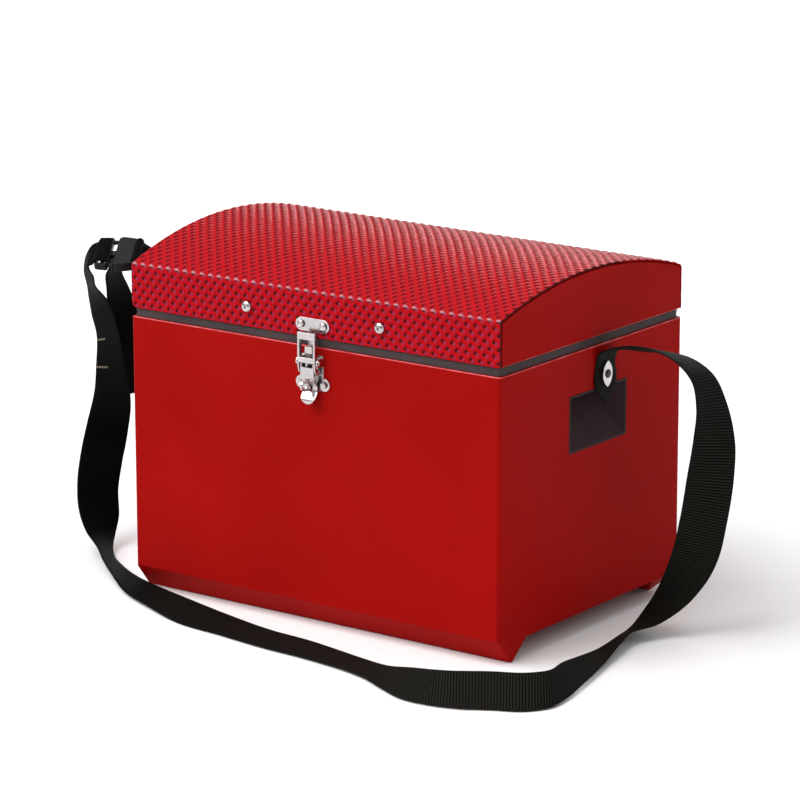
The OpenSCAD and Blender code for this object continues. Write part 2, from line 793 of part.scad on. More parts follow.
module anchor_washers() {
    color([0.7, 0.7, 0.72]) in_frame() both_sides() difference() {
        translate([half_w - shell_t - washer_t, anchor_y, anchor_z]) rotate([0, 90, 0])
            cylinder(h = washer_t, r = washer_r);
        anchor_holes(anchor_rivet_r);
    }
}

// Rivet hole through webbing at one side
module strap_hole(side) {
    translate([side * half_w, anchor_y, anchor_z]) rotate([0, 90, 0])
        cylinder(h = 12, r = anchor_rivet_r, center = true);
}

module shoulder_strap() {
    color([0.06, 0.06, 0.06]) in_frame() difference() {
        webbing(strap_route);
        strap_hole(1);
    }
}

module strap_tail() {
    color([0.06, 0.06, 0.06]) in_frame() webbing(tail_route);
}

module strap_stub() {
    color([0.06, 0.06, 0.06]) in_frame() difference() {
        webbing(stub_route);
        strap_hole(-1);
    }
}

// Buckle's own frame: X towards the box, Y across the webbing, Z out of its face
module at_buckle() {
    translate(buckle_at) rotate([buckle_tilt, 0, buckle_turn]) children();
}

module buckle_socket() {
    color([0.08, 0.08, 0.08]) in_frame() at_buckle() difference() {
        translate([0, -buckle_w / 2, -buckle_t / 2]) cube([socket_l, buckle_w, buckle_t]);
        translate([-1, -buckle_w / 2 + 2, -buckle_t / 2 + 2])
            cube([socket_l - 6, buckle_w - 4, buckle_t - 4]);
        translate([socket_l - 5, -strap_w / 2 - 1, -buckle_t]) cube([3, strap_w + 2, buckle_t * 2]);
    }
}

// Ladder for the webbing, two side arms that snap into the socket and a guide between them
module buckle_prongs() {
    ladder_t = buckle_t - 2;
    color([0.08, 0.08, 0.08]) in_frame() at_buckle() {
        difference() {
            translate([-prong_l, -buckle_w / 2, -ladder_t / 2])
                cube([prong_l - prong_gap, buckle_w, ladder_t]);
            for (x = [-prong_l + 2.5, -prong_l + 8])
                translate([x, -strap_w / 2 - 1, -buckle_t]) cube([3, strap_w + 2, buckle_t * 2]);
        }
        for (side = [-1, 1])
            translate([-prong_gap - 1, side * (buckle_w / 2 - 2 - arm_w / 2) - arm_w / 2, -arm_t / 2])
                cube([prong_gap + socket_l - 9, arm_w, arm_t]);
        translate([-prong_gap - 1, -arm_w, -arm_t / 2]) cube([prong_gap + socket_l - 12, arm_w * 2, arm_t]);
    }
}

body_shell();
body_foam();
inner_liner();
rim_gasket();
grip_cup_left();
grip_cup_right();
lid_shell();
lid_cover();
lid_foam();
lid_liner();
lid_rivets();
hinge_leaf_body();
hinge_leaf_lid();
hinge_pin();
hinge_rivets_body();
hinge_rivets_lid();
latch_base();
latch_base_rivets();
lever_pin();
latch_lever();
claw_pin();
latch_claw();
latch_keeper();
keeper_rivets();
anchor_plate_left();
anchor_plate_right();
anchor_rivets();
anchor_washers();
shoulder_strap();
strap_tail();
strap_stub();
buckle_socket();
buckle_prongs();
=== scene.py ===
"""Looks for the cool box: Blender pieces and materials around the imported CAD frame."""
import json
import math

import bmesh
import bpy
import numpy as np
from mathutils import Matrix, Vector


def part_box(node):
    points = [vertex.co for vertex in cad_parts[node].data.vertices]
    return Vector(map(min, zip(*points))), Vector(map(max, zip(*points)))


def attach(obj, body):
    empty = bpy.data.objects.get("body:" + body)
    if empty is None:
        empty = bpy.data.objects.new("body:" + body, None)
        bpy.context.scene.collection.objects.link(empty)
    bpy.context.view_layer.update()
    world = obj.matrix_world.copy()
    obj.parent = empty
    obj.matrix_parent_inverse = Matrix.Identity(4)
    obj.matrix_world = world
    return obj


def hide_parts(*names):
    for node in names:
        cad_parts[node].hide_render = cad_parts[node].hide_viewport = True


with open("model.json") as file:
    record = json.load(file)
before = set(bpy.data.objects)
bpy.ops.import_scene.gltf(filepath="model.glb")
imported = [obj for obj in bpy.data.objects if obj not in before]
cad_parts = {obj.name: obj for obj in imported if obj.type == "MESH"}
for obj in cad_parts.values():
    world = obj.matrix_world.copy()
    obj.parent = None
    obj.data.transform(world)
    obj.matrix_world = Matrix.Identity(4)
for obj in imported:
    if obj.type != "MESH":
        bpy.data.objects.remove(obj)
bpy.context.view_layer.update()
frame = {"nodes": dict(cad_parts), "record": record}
NODES = frame["nodes"]
MM = 0.001

SHELL_LO, SHELL_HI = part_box("body_shell")
LID_LO, LID_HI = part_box("lid_cover")
BOX_Y = (SHELL_LO[1] + SHELL_HI[1]) / 2
HALF_W = SHELL_HI[0]
HALF_D = (SHELL_HI[1] - SHELL_LO[1]) / 2
BODY_TOP = SHELL_HI[2]
LID_SIDE_H = 40 * MM
DOME_RISE = LID_HI[2] - LID_LO[2] - LID_SIDE_H


# ---------- camera ----------

CAM_AT = Vector((1.95922, -2.68566 + BOX_Y, 1.01457))
CAM_YAW = math.radians(-36.21)
CAM_PITCH = math.radians(14.16)
CAM_ROLL = math.radians(0.11)
CAM_LENS = 172.2          # mm, on a sensor CAM_SENSOR mm wide
CAM_SENSOR = 36
CAM_REACH = 100           # metres


def add_camera():
    """Camera at the photo's viewing angle."""
    ahead = Vector((math.sin(CAM_YAW) * math.cos(CAM_PITCH), math.cos(CAM_YAW) * math.cos(CAM_PITCH),
                    -math.sin(CAM_PITCH)))
    level = Vector((math.cos(CAM_YAW), -math.sin(CAM_YAW), 0))
    down = ahead.cross(level)
    right = math.cos(CAM_ROLL) * level + math.sin(CAM_ROLL) * down
    up = right.cross(ahead)
    data = bpy.data.cameras.new("camera")
    data.lens = CAM_LENS
    data.sensor_width = CAM_SENSOR
    data.clip_end = CAM_REACH
    cam = bpy.data.objects.new("camera", data)
    turn = Matrix((right, up, -ahead)).transposed().to_4x4()
    cam.matrix_world = Matrix.Translation(CAM_AT) @ turn
    bpy.context.collection.objects.link(cam)
    bpy.context.scene.camera = cam


add_camera()


# ---------- materials ----------

class Shader:
    """A Principled material and short ways to add nodes to it."""

    def __init__(self, name, color, rough, metal=0.0, spec=0.5, **sockets):
        self.mat = bpy.data.materials.new(name)
        self.mat.use_nodes = True
        self.mat.diffuse_color = (*color, 1)
        self.tree = self.mat.node_tree
        self.bsdf = self.tree.nodes["Principled BSDF"]
        self.set("Base Color", (*color, 1))
        self.set("Roughness", rough)
        self.set("Metallic", metal)
        self.set("Specular IOR Level", spec)
        for key, value in sockets.items():
            self.set(key.replace("_", " "), value)
        self.coord = self.node("ShaderNodeTexCoord").outputs["Object"]
        self.height = None

    def set(self, socket, value):
        self.bsdf.inputs[socket].default_value = value

    def node(self, kind, **props):
        n = self.tree.nodes.new(kind)
        for key, value in props.items():
            setattr(n, key, value)
        return n

    def link(self, a, b):
        self.tree.links.new(a, b)

    def mapped(self, scale):
        """Object coordinates stretched along each axis."""
        m = self.node("ShaderNodeMapping")
        m.inputs["Scale"].default_value = scale
        self.link(self.coord, m.inputs["Vector"])
        return m.outputs["Vector"]

    def noise(self, scale, detail=3.0, rough=0.55, stretch=None):
        n = self.node("ShaderNodeTexNoise")
        n.inputs["Scale"].default_value = scale
        n.inputs["Detail"].default_value = detail
        n.inputs["Roughness"].default_value = rough
        self.link(self.mapped(stretch) if stretch else self.coord, n.inputs["Vector"])
        return n.outputs["Fac"]

    def cells(self, scale, feature="F1"):
        n = self.node("ShaderNodeTexVoronoi", feature=feature)
        n.inputs["Scale"].default_value = scale
        self.link(self.coord, n.inputs["Vector"])
        return n.outputs["Distance"]

    def attribute(self, name):
        n = self.node("ShaderNodeAttribute", attribute_name=name)
        return n.outputs["Fac"]

    def ramp(self, fac, stops):
        """Colour ramp: stops are (place, colour)."""
        n = self.node("ShaderNodeValToRGB")
        ends = n.color_ramp.elements
        while len(ends) < len(stops):
            ends.new(0.5)
        for e, (at, c) in zip(ends, stops):
            e.position = at
            e.color = (*c, 1) if hasattr(c, "__len__") else (c, c, c, 1)
        self.link(fac, n.inputs["Fac"])
        return n.outputs["Color"]

    def mix(self, fac, a, b, mode="MIX"):
        n = self.node("ShaderNodeMix", data_type="RGBA", blend_type=mode)
        for value, socket in ((fac, n.inputs[0]), (a, n.inputs[6]), (b, n.inputs[7])):
            if isinstance(value, bpy.types.NodeSocket):
                self.link(value, socket)
            else:
                socket.default_value = (*value, 1) if hasattr(value, "__len__") else value
        return n.outputs[2]

    def color(self, output):
        self.link(output, self.bsdf.inputs["Base Color"])

    def rough(self, fac, low, high):
        n = self.node("ShaderNodeMapRange")
        n.inputs["To Min"].default_value = low
        n.inputs["To Max"].default_value = high
        self.link(fac, n.inputs["Value"])
        self.link(n.outputs["Result"], self.bsdf.inputs["Roughness"])

    def bump(self, height, strength, distance):
        """Bump on top of any bump that is there already."""
        n = self.node("ShaderNodeBump")
        n.inputs["Strength"].default_value = strength
        n.inputs["Distance"].default_value = distance
        self.link(height, n.inputs["Height"])
        if self.height is not None:
            self.link(self.height, n.inputs["Normal"])
        self.height = n.outputs["Normal"]
        self.link(self.height, self.bsdf.inputs["Normal"])


def shade(color, k):
    """A colour made darker or lighter."""
    return tuple(c * k for c in color)


RED = (0.310, 0.0042, 0.0034)
EDGE_HIGHLIGHT_DIM = (0.42, 0.012, 0.014)      # painted highlight on the moulding's rounded edges: its dim red, mixed with the pale colour below
EDGE_HIGHLIGHT_BRIGHT = (0.62, 0.085, 0.10)
VINYL = (0.415, 0.0042, 0.0080)
GRAIN_HIGHLIGHT = (0.260, 0.0200, 0.0520)      # painted highlight on the upper side of a grain
SHADE = (0.060, 0.0050, 0.0080)      # painted shade on the lower side of a grain
CREASE_GLINT = (0.48, 0.27, 0.31)          # painted glint on the tops of the grains along the front crease
END_BAND_DARK = (0.012, 0.010, 0.011)     # near black along the sheet's ends
SOFT_STEP = [(0.35, 0.0), (0.65, 1.0)]
FINE_BUMP = 0.0003                   # depth of a fine surface grain, in metres


def red_moulding():
    """Moulded red plastic: faint clouds, a fine grain and slightly uneven faces."""
    s = Shader("red_moulding", RED, 0.46, spec=0.015)
    broad = s.noise(7, 2)
    s.color(s.mix(s.ramp(broad, SOFT_STEP), shade(RED, 0.93), shade(RED, 1.05)))
    grain = s.noise(1300, 2)
    s.rough(s.noise(260, 4), 0.36, 0.50)
    s.bump(grain, 0.10, FINE_BUMP)
    s.bump(s.noise(38, 2), 0.10, 0.0010)
    return s.mat


def red_edge_highlight():
    """Painted highlight for the moulding's rounded edges: a paler, glossier red, broken up by noise."""
    s = Shader("red_edge_highlight", (0.50, 0.030, 0.035), 0.25, spec=0.4)
    painted_light_split = s.noise(60, 4)
    s.color(s.mix(s.ramp(painted_light_split, SOFT_STEP), EDGE_HIGHLIGHT_DIM, EDGE_HIGHLIGHT_BRIGHT))
    s.rough(painted_light_split, 0.18, 0.34)
    return s.mat


def red_vinyl():
    """Bright ground; every grain has a pale purplish painted highlight at its upper end and painted shade at
    its lower end, and the grains along the front crease a painted glint.
    """
    s = Shader("red_vinyl", VINYL, 0.28, spec=0.02)
    speck = s.noise(420, 3)
    ground = s.mix(s.ramp(speck, [(0.3, 0.0), (0.7, 1.0)]), shade(VINYL, 0.90), shade(VINYL, 1.08))
    grain_light = s.attribute("grain_light")
    lower = s.mix(s.ramp(grain_light, [(0.22, 1.0), (0.44, 0.0)]), ground, SHADE)
    upper = s.mix(s.ramp(grain_light, [(0.56, 0.0), (0.80, 1.0)]), lower, GRAIN_HIGHLIGHT)
    # painted glint on the grains along the front crease
    crease_glint = s.mix(s.attribute("crease_glint"), upper, CREASE_GLINT)
    s.color(s.mix(s.attribute("end_band"), crease_glint, END_BAND_DARK))
    s.rough(s.noise(300, 3), 0.22, 0.34)
    s.bump(s.noise(1500, 2), 0.10, 0.0002)
    return s.mat


def plain_plastic(name, color, rough, grain=1400, strength=0.12, spec=0.4, vary=0.13):
    """Plastic, rubber or thread: clouds of a share vary of its colour, and a fine grain."""
    s = Shader(name, color, rough, spec=spec)
    clouds = s.ramp(s.noise(24, 3), SOFT_STEP)
    s.color(s.mix(clouds, shade(color, 1 - vary), shade(color, 1 + vary)))
    s.rough(s.noise(190, 4), rough * 0.85, min(rough * 1.15, 1))
    s.bump(s.noise(grain, 2), strength, FINE_BUMP)
    return s.mat


def foam():
    """Pale closed-cell foam."""
    s = Shader("foam", (0.85, 0.80, 0.60), 0.9, spec=0.2)
    cell = s.cells(420)
    s.color(s.mix(s.ramp(cell, [(0.0, 0.0), (0.6, 1.0)]), (0.78, 0.72, 0.50), (0.90, 0.86, 0.68)))
    s.bump(cell, 0.5, 0.0006)
    return s.mat


def metal(name, color, low, high, brush=(1, 1, 1), strength=0.05):
    """Plated or bare steel, its roughness between low and high, brushed along an axis."""
    s = Shader(name, color, low, metal=1.0)
    s.color(s.mix(s.ramp(s.noise(90, 3), [(0.35, 0.0), (0.7, 1.0)]), shade(color, 0.88), shade(color, 1.06)))
    s.rough(s.noise(160, 4, stretch=brush), low, high)
    s.bump(s.noise(700, 2, stretch=brush), strength, 0.0002)
    return s.mat


def webbing_black():
    """Black webbing, olive-tinged: painted light on the ribs, painted shade between them, and near black
    painted shade along the stretches marked for it.
    """
    s = Shader("webbing_black", (0.006, 0.006, 0.005), 0.62, spec=0.04,
               Sheen_Weight=0.01, Sheen_Roughness=0.45, Sheen_Tint=(0.75, 0.78, 0.76, 1))
    rib = s.attribute("weave")
    strap_shade = s.attribute("strap_shade")
    fuzz = s.noise(900, 3)
    dark = s.mix(fuzz, (0.0006, 0.0006, 0.0005), (0.0018, 0.0018, 0.0016))
    lit = s.mix(fuzz, (0.008, 0.0086, 0.0066), (0.020, 0.021, 0.0165))
    woven = s.mix(s.ramp(rib, [(0.25, 0.0), (0.85, 1.0)]), dark, lit)
    # painted shade: near black where the strap is marked as lying in shade
    s.color(s.mix(strap_shade, woven, (0.0008, 0.0008, 0.0007)))
    s.rough(fuzz, 0.52, 0.74)
    s.bump(s.noise(2600, 2), 0.35, FINE_BUMP)
    return s.mat


MATS = {
    "red_moulding": red_moulding(),
    "red_edge_highlight": red_edge_highlight(),
    "red_vinyl": red_vinyl(),
    "white_moulding": plain_plastic("white_moulding", (0.80, 0.80, 0.77), 0.34, strength=0.08, vary=0.025),
    "dark_moulding": plain_plastic("dark_moulding", (0.036, 0.018, 0.020), 0.62, grain=900, strength=0.25,
                                   spec=0.12),
    "foam": foam(),
    "gasket": plain_plastic("gasket", (0.055, 0.040, 0.041), 0.7, grain=700, strength=0.3, spec=0.15),
    "bright_steel": metal("bright_steel", (0.60, 0.555, 0.56), 0.16, 0.30),
    "plain_steel": metal("plain_steel", (0.60, 0.60, 0.61), 0.28, 0.46, brush=(0.06, 1, 1), strength=0.12),
    "black_paint": plain_plastic("black_paint", (0.012, 0.012, 0.014), 0.30, grain=800, strength=0.1,
                                 spec=0.6),
    "webbing": webbing_black(),
    "black_plastic": plain_plastic("black_plastic", (0.003, 0.003, 0.0026), 0.34, grain=1000, strength=0.2,
                                   spec=0.22),
    "thread": plain_plastic("thread", (0.30, 0.27, 0.19), 0.8, grain=2500, strength=0.5),
}
SLOT_OF = {row["node"]: row["material_slot"] for row in frame["record"]["subparts"]}


def finish_with(obj, slot, smooth_deg=35):
    """Gives a piece its material and its slot, and shades it smooth up to an angle."""
    obj.data.materials.clear()
    obj.data.materials.append(MATS[slot])
    for f in obj.data.polygons:
        f.use_smooth = True
        f.material_index = 0
    obj.data.set_sharp_from_angle(angle=math.radians(smooth_deg))
    return obj


# ---------- mesh helpers ----------

def object_of(name, bm, body, slot, smooth_deg=35, replaces=(), edge_faces=()):
    """Turns a bmesh into a piece that rides on a body; edge_faces take the material of the painted edge
    highlight.
    """
    bmesh.ops.recalc_face_normals(bm, faces=bm.faces)
    for f in edge_faces:
        if f.is_valid:
            f.material_index = 1
    me = bpy.data.meshes.new(name)
    bm.to_mesh(me)
    bm.free()
    obj = bpy.data.objects.new(name, me)
    bpy.context.collection.objects.link(obj)
    marked = [f.material_index for f in me.polygons]
    finish_with(obj, slot, smooth_deg)
    if edge_faces:
        me.materials.append(MATS["red_edge_highlight"])
        me.polygons.foreach_set("material_index", marked)
    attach(obj, body)
    if replaces:
        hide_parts(*replaces)
    obj.modifiers.new("even_normals", "WEIGHTED_NORMAL").keep_sharp = True
    return obj


def cad_bmesh(node):
    """A CAD node's mesh with its corners welded and its flat triangles joined into faces."""
    bm = bmesh.new()
    bm.from_mesh(NODES[node].data)
    bmesh.ops.remove_doubles(bm, verts=bm.verts, dist=2e-6)
    bmesh.ops.dissolve_limit(bm, angle_limit=math.radians(0.6), verts=bm.verts, edges=bm.edges,
                             use_dissolve_boundaries=False)
    return bm


def round_edges(bm, width, segments=2, least_deg=28, keep=None):
    """Rounds the sharp edges of a bmesh; keep(edge) picks which."""
    sharp = [e for e in bm.edges if len(e.link_faces) == 2
             and e.calc_face_angle(0) > math.radians(least_deg) and (keep is None or keep(e))]
    made = bmesh.ops.bevel(bm, geom=sharp, offset=width, offset_type="OFFSET", segments=segments, profile=0.5,
                           affect="EDGES", clamp_overlap=False)
    return made["faces"]


def body_of(node):
    """Body that a CAD node moves with."""
    for body, nodes in frame["record"]["behaviour"]["bodies"].items():
        if node in nodes:
            return body


def rounded_node(node, width, segments=2, least_deg=28):
    """A CAD node with its sharp edges rounded, in its place."""
    bm = cad_bmesh(node)
    round_edges(bm, width, segments, least_deg)
    return object_of(node + "_piece", bm, body_of(node), SLOT_OF[node], replaces=(node,))


def cut_at(bm, place, normal):
    """Adds edges where a plane crosses the mesh."""
    geom = list(bm.verts) + list(bm.edges) + list(bm.faces)
    bmesh.ops.bisect_plane(bm, geom=geom, dist=1e-6, plane_co=place, plane_no=normal)


def share(value):
    """A number held between 0 and 1."""
    return min(max(value, 0), 1)


def float_layer(me, name, values):
    """Stores one number at each vertex for a material to read."""
    me.attributes.new(name, "FLOAT", "POINT").data.foreach_set("value", values)


def lathe(bm, profile, at, axis, turns=48):
    """Adds a turned shape: profile is (radius, height) from the axis outwards, height along axis."""
    axis = Vector(axis).normalized()
    side = axis.orthogonal().normalized()
    other = axis.cross(side)
    rings = []
    for r, h in profile:
        if r < 1e-7:
            rings.append([bm.verts.new(Vector(at) + axis * h)])
            continue
        rings.append([bm.verts.new(Vector(at) + axis * h + (side * math.cos(a) + other * math.sin(a)) * r)
                      for a in (2 * math.pi * k / turns for k in range(turns))])
    for lo, hi in zip(rings, rings[1:]):
        for k in range(turns):
            n = (k + 1) % turns
            ring = ([lo[k], lo[n]] if len(lo) > 1 else [lo[0]]) + ([hi[n], hi[k]] if len(hi) > 1 else [hi[0]])
            bm.faces.new(ring)


# ---------- webbing ----------

# Stations of the strap about the box's centre, in mm: x, y, z, then the width vector across the webbing
STRAP = [
    (201.6, 17, 200, 0, 2, 0), (201.6, 17, 212, 0, 28, 0), (201.6, 17, 239, 0, 30, 0),
    (204, 17, 245, 0, 31, -1), (213, 16, 249, -1, 33, -4), (230, 15, 252, -3, 36, -11),
    (258, 14, 254, -4, 38, -11), (284, 14, 249, -4, 39, -7), (302, 14, 236, -2, 40, -4),
    (311, 14, 214, 6, 39, -4), (314, 14, 184, 20, 34, -4), (311, 14, 150, 31, 25, -3),
    (305, 14, 112, 33, 21, -8), (297, 15, 80, 34, 19, -7), (283, 18, 52, 37, 8, -3),
    (265, 20, 28, 36, -12, -2), (252, 12, 13, 32, -24, 3), (247, -8, 8, 23, -31, 9),
    (252, -34, 7, 23, -32, 6), (260, -72, 5, 25, -30, 0), (275, -132, 9, 25, -27, -12),
    (284, -170, 12, 22, -25, -20), (286, -192, 12, 19, -25, -21), (274, -211, 12, 18, -26, -22),
    (250, -224, 12, 18, -26, -22), (220, -240, 12, 18, -27, -20), (176, -242, 9, 14, -33, -15),
    (145, -230, 5, 17, -34, -7), (116, -217, 3, 19, -34, -2), (42, -203, 3, 19, -34, -2),
    (-5, -200, 3, 18, -34, -3), (-57, -193, 4, 17, -35, -5), (-108, -187, 6, 14, -34, -10),
    (-156, -168, 5, 12, -36, -5), (-202, -147, 4, 14, -36, -2), (-240, -122, 5, 16, -35, 4),
    (-265, -104, 7, 16, -35, 8), (-286, -85, 11, 11, -36, 10), (-302, -72, 19, -5, -36, 10),
    (-314, -60, 32, -21, -32, 9), (-325, -48, 56, -25, -29, 10), (-329, -38, 77, -30, -24, 10),
    (-330, -27, 105, -29, -24, 11), (-327, -22, 136, -38, -7, 5), (-330, -20, 164, -39, 4, -6),
    (-335, -18, 197, -36, 11, -11), (-342, -18, 217, -34, 12, -15), (-347, -19, 228, -33, 18, -12),
    (-352, -20, 239, -30, 23, -7), (-355, -20, 251, -31, 23, -1), (-356, -20, 261, -26, 28, 7),
    (-354, -19, 267, -21, 31, 12), (-349, -15, 270, -18, 32, 14)]
TAIL = [
    (-335, -6, 260.5, -15, 36, 6), (-337, -5, 252, -13, 37, -2), (-337, 1, 233, -5, 38, -5),
    (-336, 6, 211, 4, 39, -4), (-334, 7, 168, 4, 39, -2), (-333, 8, 131, 4, 39, -2)]
STUB = [
    (-201.6, 17, 200, 0, 2, 0), (-201.6, 17, 212, 0, 28, 0), (-201.6, 17, 239, 0, 30, 0),
    (-204, 17, 245, 0, 31, 1), (-214, 18, 249, 0, 34, 4), (-236, 19, 253, 0, 36, 6),
    (-262, 18, 256, -2, 38, 8), (-283, 15, 258, -7, 37, 9), (-300, 11, 262, -12, 35, 10),
    (-313.3, 6.6, 269, -18, 32, 14)]

WEB_T = 2.0 * MM         # thickness of the webbing
RIB = 2.6 * MM           # spacing of its ribs
RIB_H = 0.16 * MM        # height of a rib
COLUMNS = 16             # cords across its width
RINGS_PER_RIB = 4
WAVER_EVERY = 60         # rings between the places where the strap wavers
SHADE_RAMP = 0.2          # share of the strap over which the lit webbing turns to near black painted shade


def curve_through(table):
    """Smooth line through the stations: points and width vectors at even steps, in metres."""
    p = np.array(table, float) * MM
    p[:, 1] += BOX_Y
    ext = np.vstack([2 * p[0] - p[1], p, 2 * p[-1] - p[-2]])
    dense = []
    for i in range(1, len(ext) - 2):
        a, b, c, d = ext[i - 1:i + 3]
        t1 = max(np.linalg.norm((b - a)[:3]), 1e-6)
        t2 = max(np.linalg.norm((c - b)[:3]), 1e-6)
        t3 = max(np.linalg.norm((d - c)[:3]), 1e-6)
        m1 = ((b - a) / t1 * t2 + (c - b) / t2 * t1) / (t1 + t2) * t2
        m2 = ((c - b) / t2 * t3 + (d - c) / t3 * t2) / (t2 + t3) * t2
        for t in np.linspace(0, 1, 40, endpoint=False):
            h = (2 * t ** 3 - 3 * t ** 2 + 1, t ** 3 - 2 * t ** 2 + t,
                 -2 * t ** 3 + 3 * t ** 2, t ** 3 - t ** 2)
            dense.append(h[0] * b + h[1] * m1 + h[2] * c + h[3] * m2)
    dense.append(ext[-2])
    dense = np.array(dense)
    run = np.concatenate([[0], np.cumsum(np.linalg.norm(np.diff(dense[:, :3], axis=0), axis=1))])
    steps = int(run[-1] / (RIB / RINGS_PER_RIB)) + 1
    at = np.linspace(0, run[-1], steps)
    even = np.stack([np.interp(at, run, dense[:, k]) for k in range(6)], axis=1)
    return even[:, :3], even[:, 3:], run[-1]


def webbing_piece(name, table, node, waver=0.0, painted_light_split=0.0):
    """Woven strap along its stations, with ribs across it and thin selvedges.

    It replaces the CAD node, if one is given. waver is in mm. Past the share of its length given by
    the last argument it turns to near black painted shade; with 0 there, it is in painted shade all along.
    """
    mid, across, length = curve_through(table)
    ahead = np.gradient(mid, axis=0)
    face = np.cross(ahead, across)
    face /= np.linalg.norm(face, axis=1)[:, None]
    n, half = len(mid), COLUMNS
    place = np.linspace(-1, 1, half + 1)
    rng = np.random.default_rng(7)
    knots = np.arange(0, n + WAVER_EVERY, WAVER_EVERY)
    soft = np.interp(np.arange(n), knots, rng.normal(0, waver, len(knots))) * MM
    # (place across, side) once round the strap
    section = [(a, 1) for a in place] + [(a, -1) for a in place[::-1]]
    m = len(section)
    verts = np.zeros((n, m, 3))
    weave = np.zeros((n, m))
    wave = 0.5 + 0.5 * np.sin(2 * math.pi * np.arange(n) / RINGS_PER_RIB)
    for j, (a, side) in enumerate(section):
        edge = abs(a) > 0.99
        thick = WEB_T * (0.22 if edge else 0.44)
        height = thick + (RIB_H * wave if not edge else 0)
        out = a * (0.5 if not edge else 0.506)
        lift = side * height * np.ones(n) + soft
        verts[:, j] = mid + across * out + face * lift[:, None]
        weave[:, j] = wave if not edge else 0.5
    me = bpy.data.meshes.new(name)
    faces = []
    for i in range(n - 1):
        for j in range(m):
            k = (j + 1) % m
            faces.append((i * m + j, i * m + k, (i + 1) * m + k, (i + 1) * m + j))
    faces.append(tuple(range(m - 1, -1, -1)))
    faces.append(tuple(range((n - 1) * m, n * m)))
    me.from_pydata(verts.reshape(-1, 3).tolist(), [], faces)
    me.update()
    float_layer(me, "weave", weave.reshape(-1))
    # painted shade: past the given share of its length the strap turns near black
    strap_shade = np.clip((np.linspace(0, 1, n) - painted_light_split) / SHADE_RAMP, 0, 1) if painted_light_split else np.ones(n)
    float_layer(me, "strap_shade", np.repeat(strap_shade, m))
    obj = bpy.data.objects.new(name, me)
    bpy.context.collection.objects.link(obj)
    finish_with(obj, "webbing", 60)
    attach(obj, "box")
    if node:
        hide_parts(node)
    return obj, mid, length


STITCHES = 9
STITCH_R = 0.35 * MM
STITCH_L = 1.8 * MM       # along the strap
STITCH_LEAN = 0.022       # share of the strap's width that a stitch crosses
OUTER_FACE = np.array([-0.57, 0.78, -0.24])   # points away from the strap's outer face


def bar_tack(name, height, low, high):
    """Row of stitches across part of the strap at one height, between two shares of its width."""
    mid, across, _ = curve_through(STRAP)
    near = [i for i in range(len(mid)) if mid[i][0] < -300 * MM and mid[i][2] > 150 * MM]
    i = min(near, key=lambda k: abs(mid[k][2] - height))
    ahead = mid[i + 2] - mid[i - 2]
    face = np.cross(ahead, across[i])
    face /= np.linalg.norm(face)
    face *= -1 if face @ OUTER_FACE > 0 else 1
    ahead /= np.linalg.norm(ahead)
    bm = bmesh.new()
    for k in range(STITCHES):
        t = low + (high - low) * k / (STITCHES - 1)
        lean = 1 if k % 2 else -1
        a = mid[i] + across[i] * t + face * 1.1 * MM - ahead * STITCH_L / 2
        b = a + ahead * STITCH_L + across[i] * STITCH_LEAN * lean
        turn = Vector(b - a).to_track_quat("Z", "Y").to_matrix().to_4x4()
        place = Matrix.Translation(Vector((a + b) / 2)) @ turn
        bmesh.ops.create_cone(bm, segments=8, radius1=STITCH_R, radius2=STITCH_R, cap_ends=True,
                              depth=float(np.linalg.norm(b - a)), matrix=place)
    return object_of(name, bm, "box", "thread", 50)


def shoulder_strap(pieces_on_it):
    """The long strap, from the right anchor round the front to the buckle, with what it carries."""
    obj, mid, length = webbing_piece("shoulder_strap_piece", STRAP, "shoulder_strap", 0.10, painted_light_split=0.55)
    tail, *_ = webbing_piece("strap_tail_piece", TAIL, "strap_tail")
    webbing_piece("strap_stub_piece", STUB, "strap_stub")
    tacks = [bar_tack("bar_tack_high", 190.5 * MM, 0.46, 0.14),
             bar_tack("bar_tack_low", 163.5 * MM, 0.46, 0.10)]


# ---------- lid cover ----------

PITCH = 9.6 * MM         # spacing of the grains across the lid
ROW = 6.0 * MM           # spacing of their staggered rows
GRAIN_H = 1.05 * MM      # height of a grain
GRAIN_LEAN = math.radians(26)
GRAIN_WIDE, GRAIN_LONG = 2.7 * MM, 4.7 * MM   # half width and half length
CREASE_R = 2.0 * MM
REAR_R = 5.5 * MM         # rounding of the lid's rear corner
CREASE_Z = LID_LO[2] + LID_SIDE_H
LIFT = 5.0 * MM           # extra height of the dome at its left end
CORNER_R = 6.0 * MM       # rounding of the left end's lower edge
CORNER_FADE = 14 * MM     # height over which that rounding eases out
SHEET_T = 1.25 * MM
COVER_COLUMNS = 420


def cover_profile():
    """Outline of the cover in (y, z) with its outward normals, from the front hem over to the back hem."""
    chord = HALF_D
    radius = (chord ** 2 + DOME_RISE ** 2) / (2 * DOME_RISE)
    centre = CREASE_Z + DOME_RISE - radius

    def half(crease_r, side_steps):
        """From the hem up one side, round the crease and over to the top."""
        inner_y = chord - crease_r
        inner = math.asin(inner_y / (radius - crease_r))
        crease_z = centre + math.cos(inner) * (radius - crease_r)
        side = np.linspace(LID_LO[2], crease_z, side_steps, endpoint=False)
        points = [(-chord, z, -1.0, 0.0) for z in side]
        for a in np.linspace(math.pi / 2, inner, 8, endpoint=False):
            points.append((-inner_y - crease_r * math.sin(a), crease_z + crease_r * math.cos(a),
                           -math.sin(a), math.cos(a)))
        for a in np.linspace(-inner, 0, 158, endpoint=False):
            points.append((radius * math.sin(a), centre + radius * math.cos(a), math.sin(a), math.cos(a)))
        return points
    front = half(CREASE_R, 44)
    back = [(-y, z, -ny, nz) for y, z, ny, nz in reversed(half(REAR_R, 40))]
    return np.array(front + [(0.0, centre + radius, 0.0, 1.0)] + back)


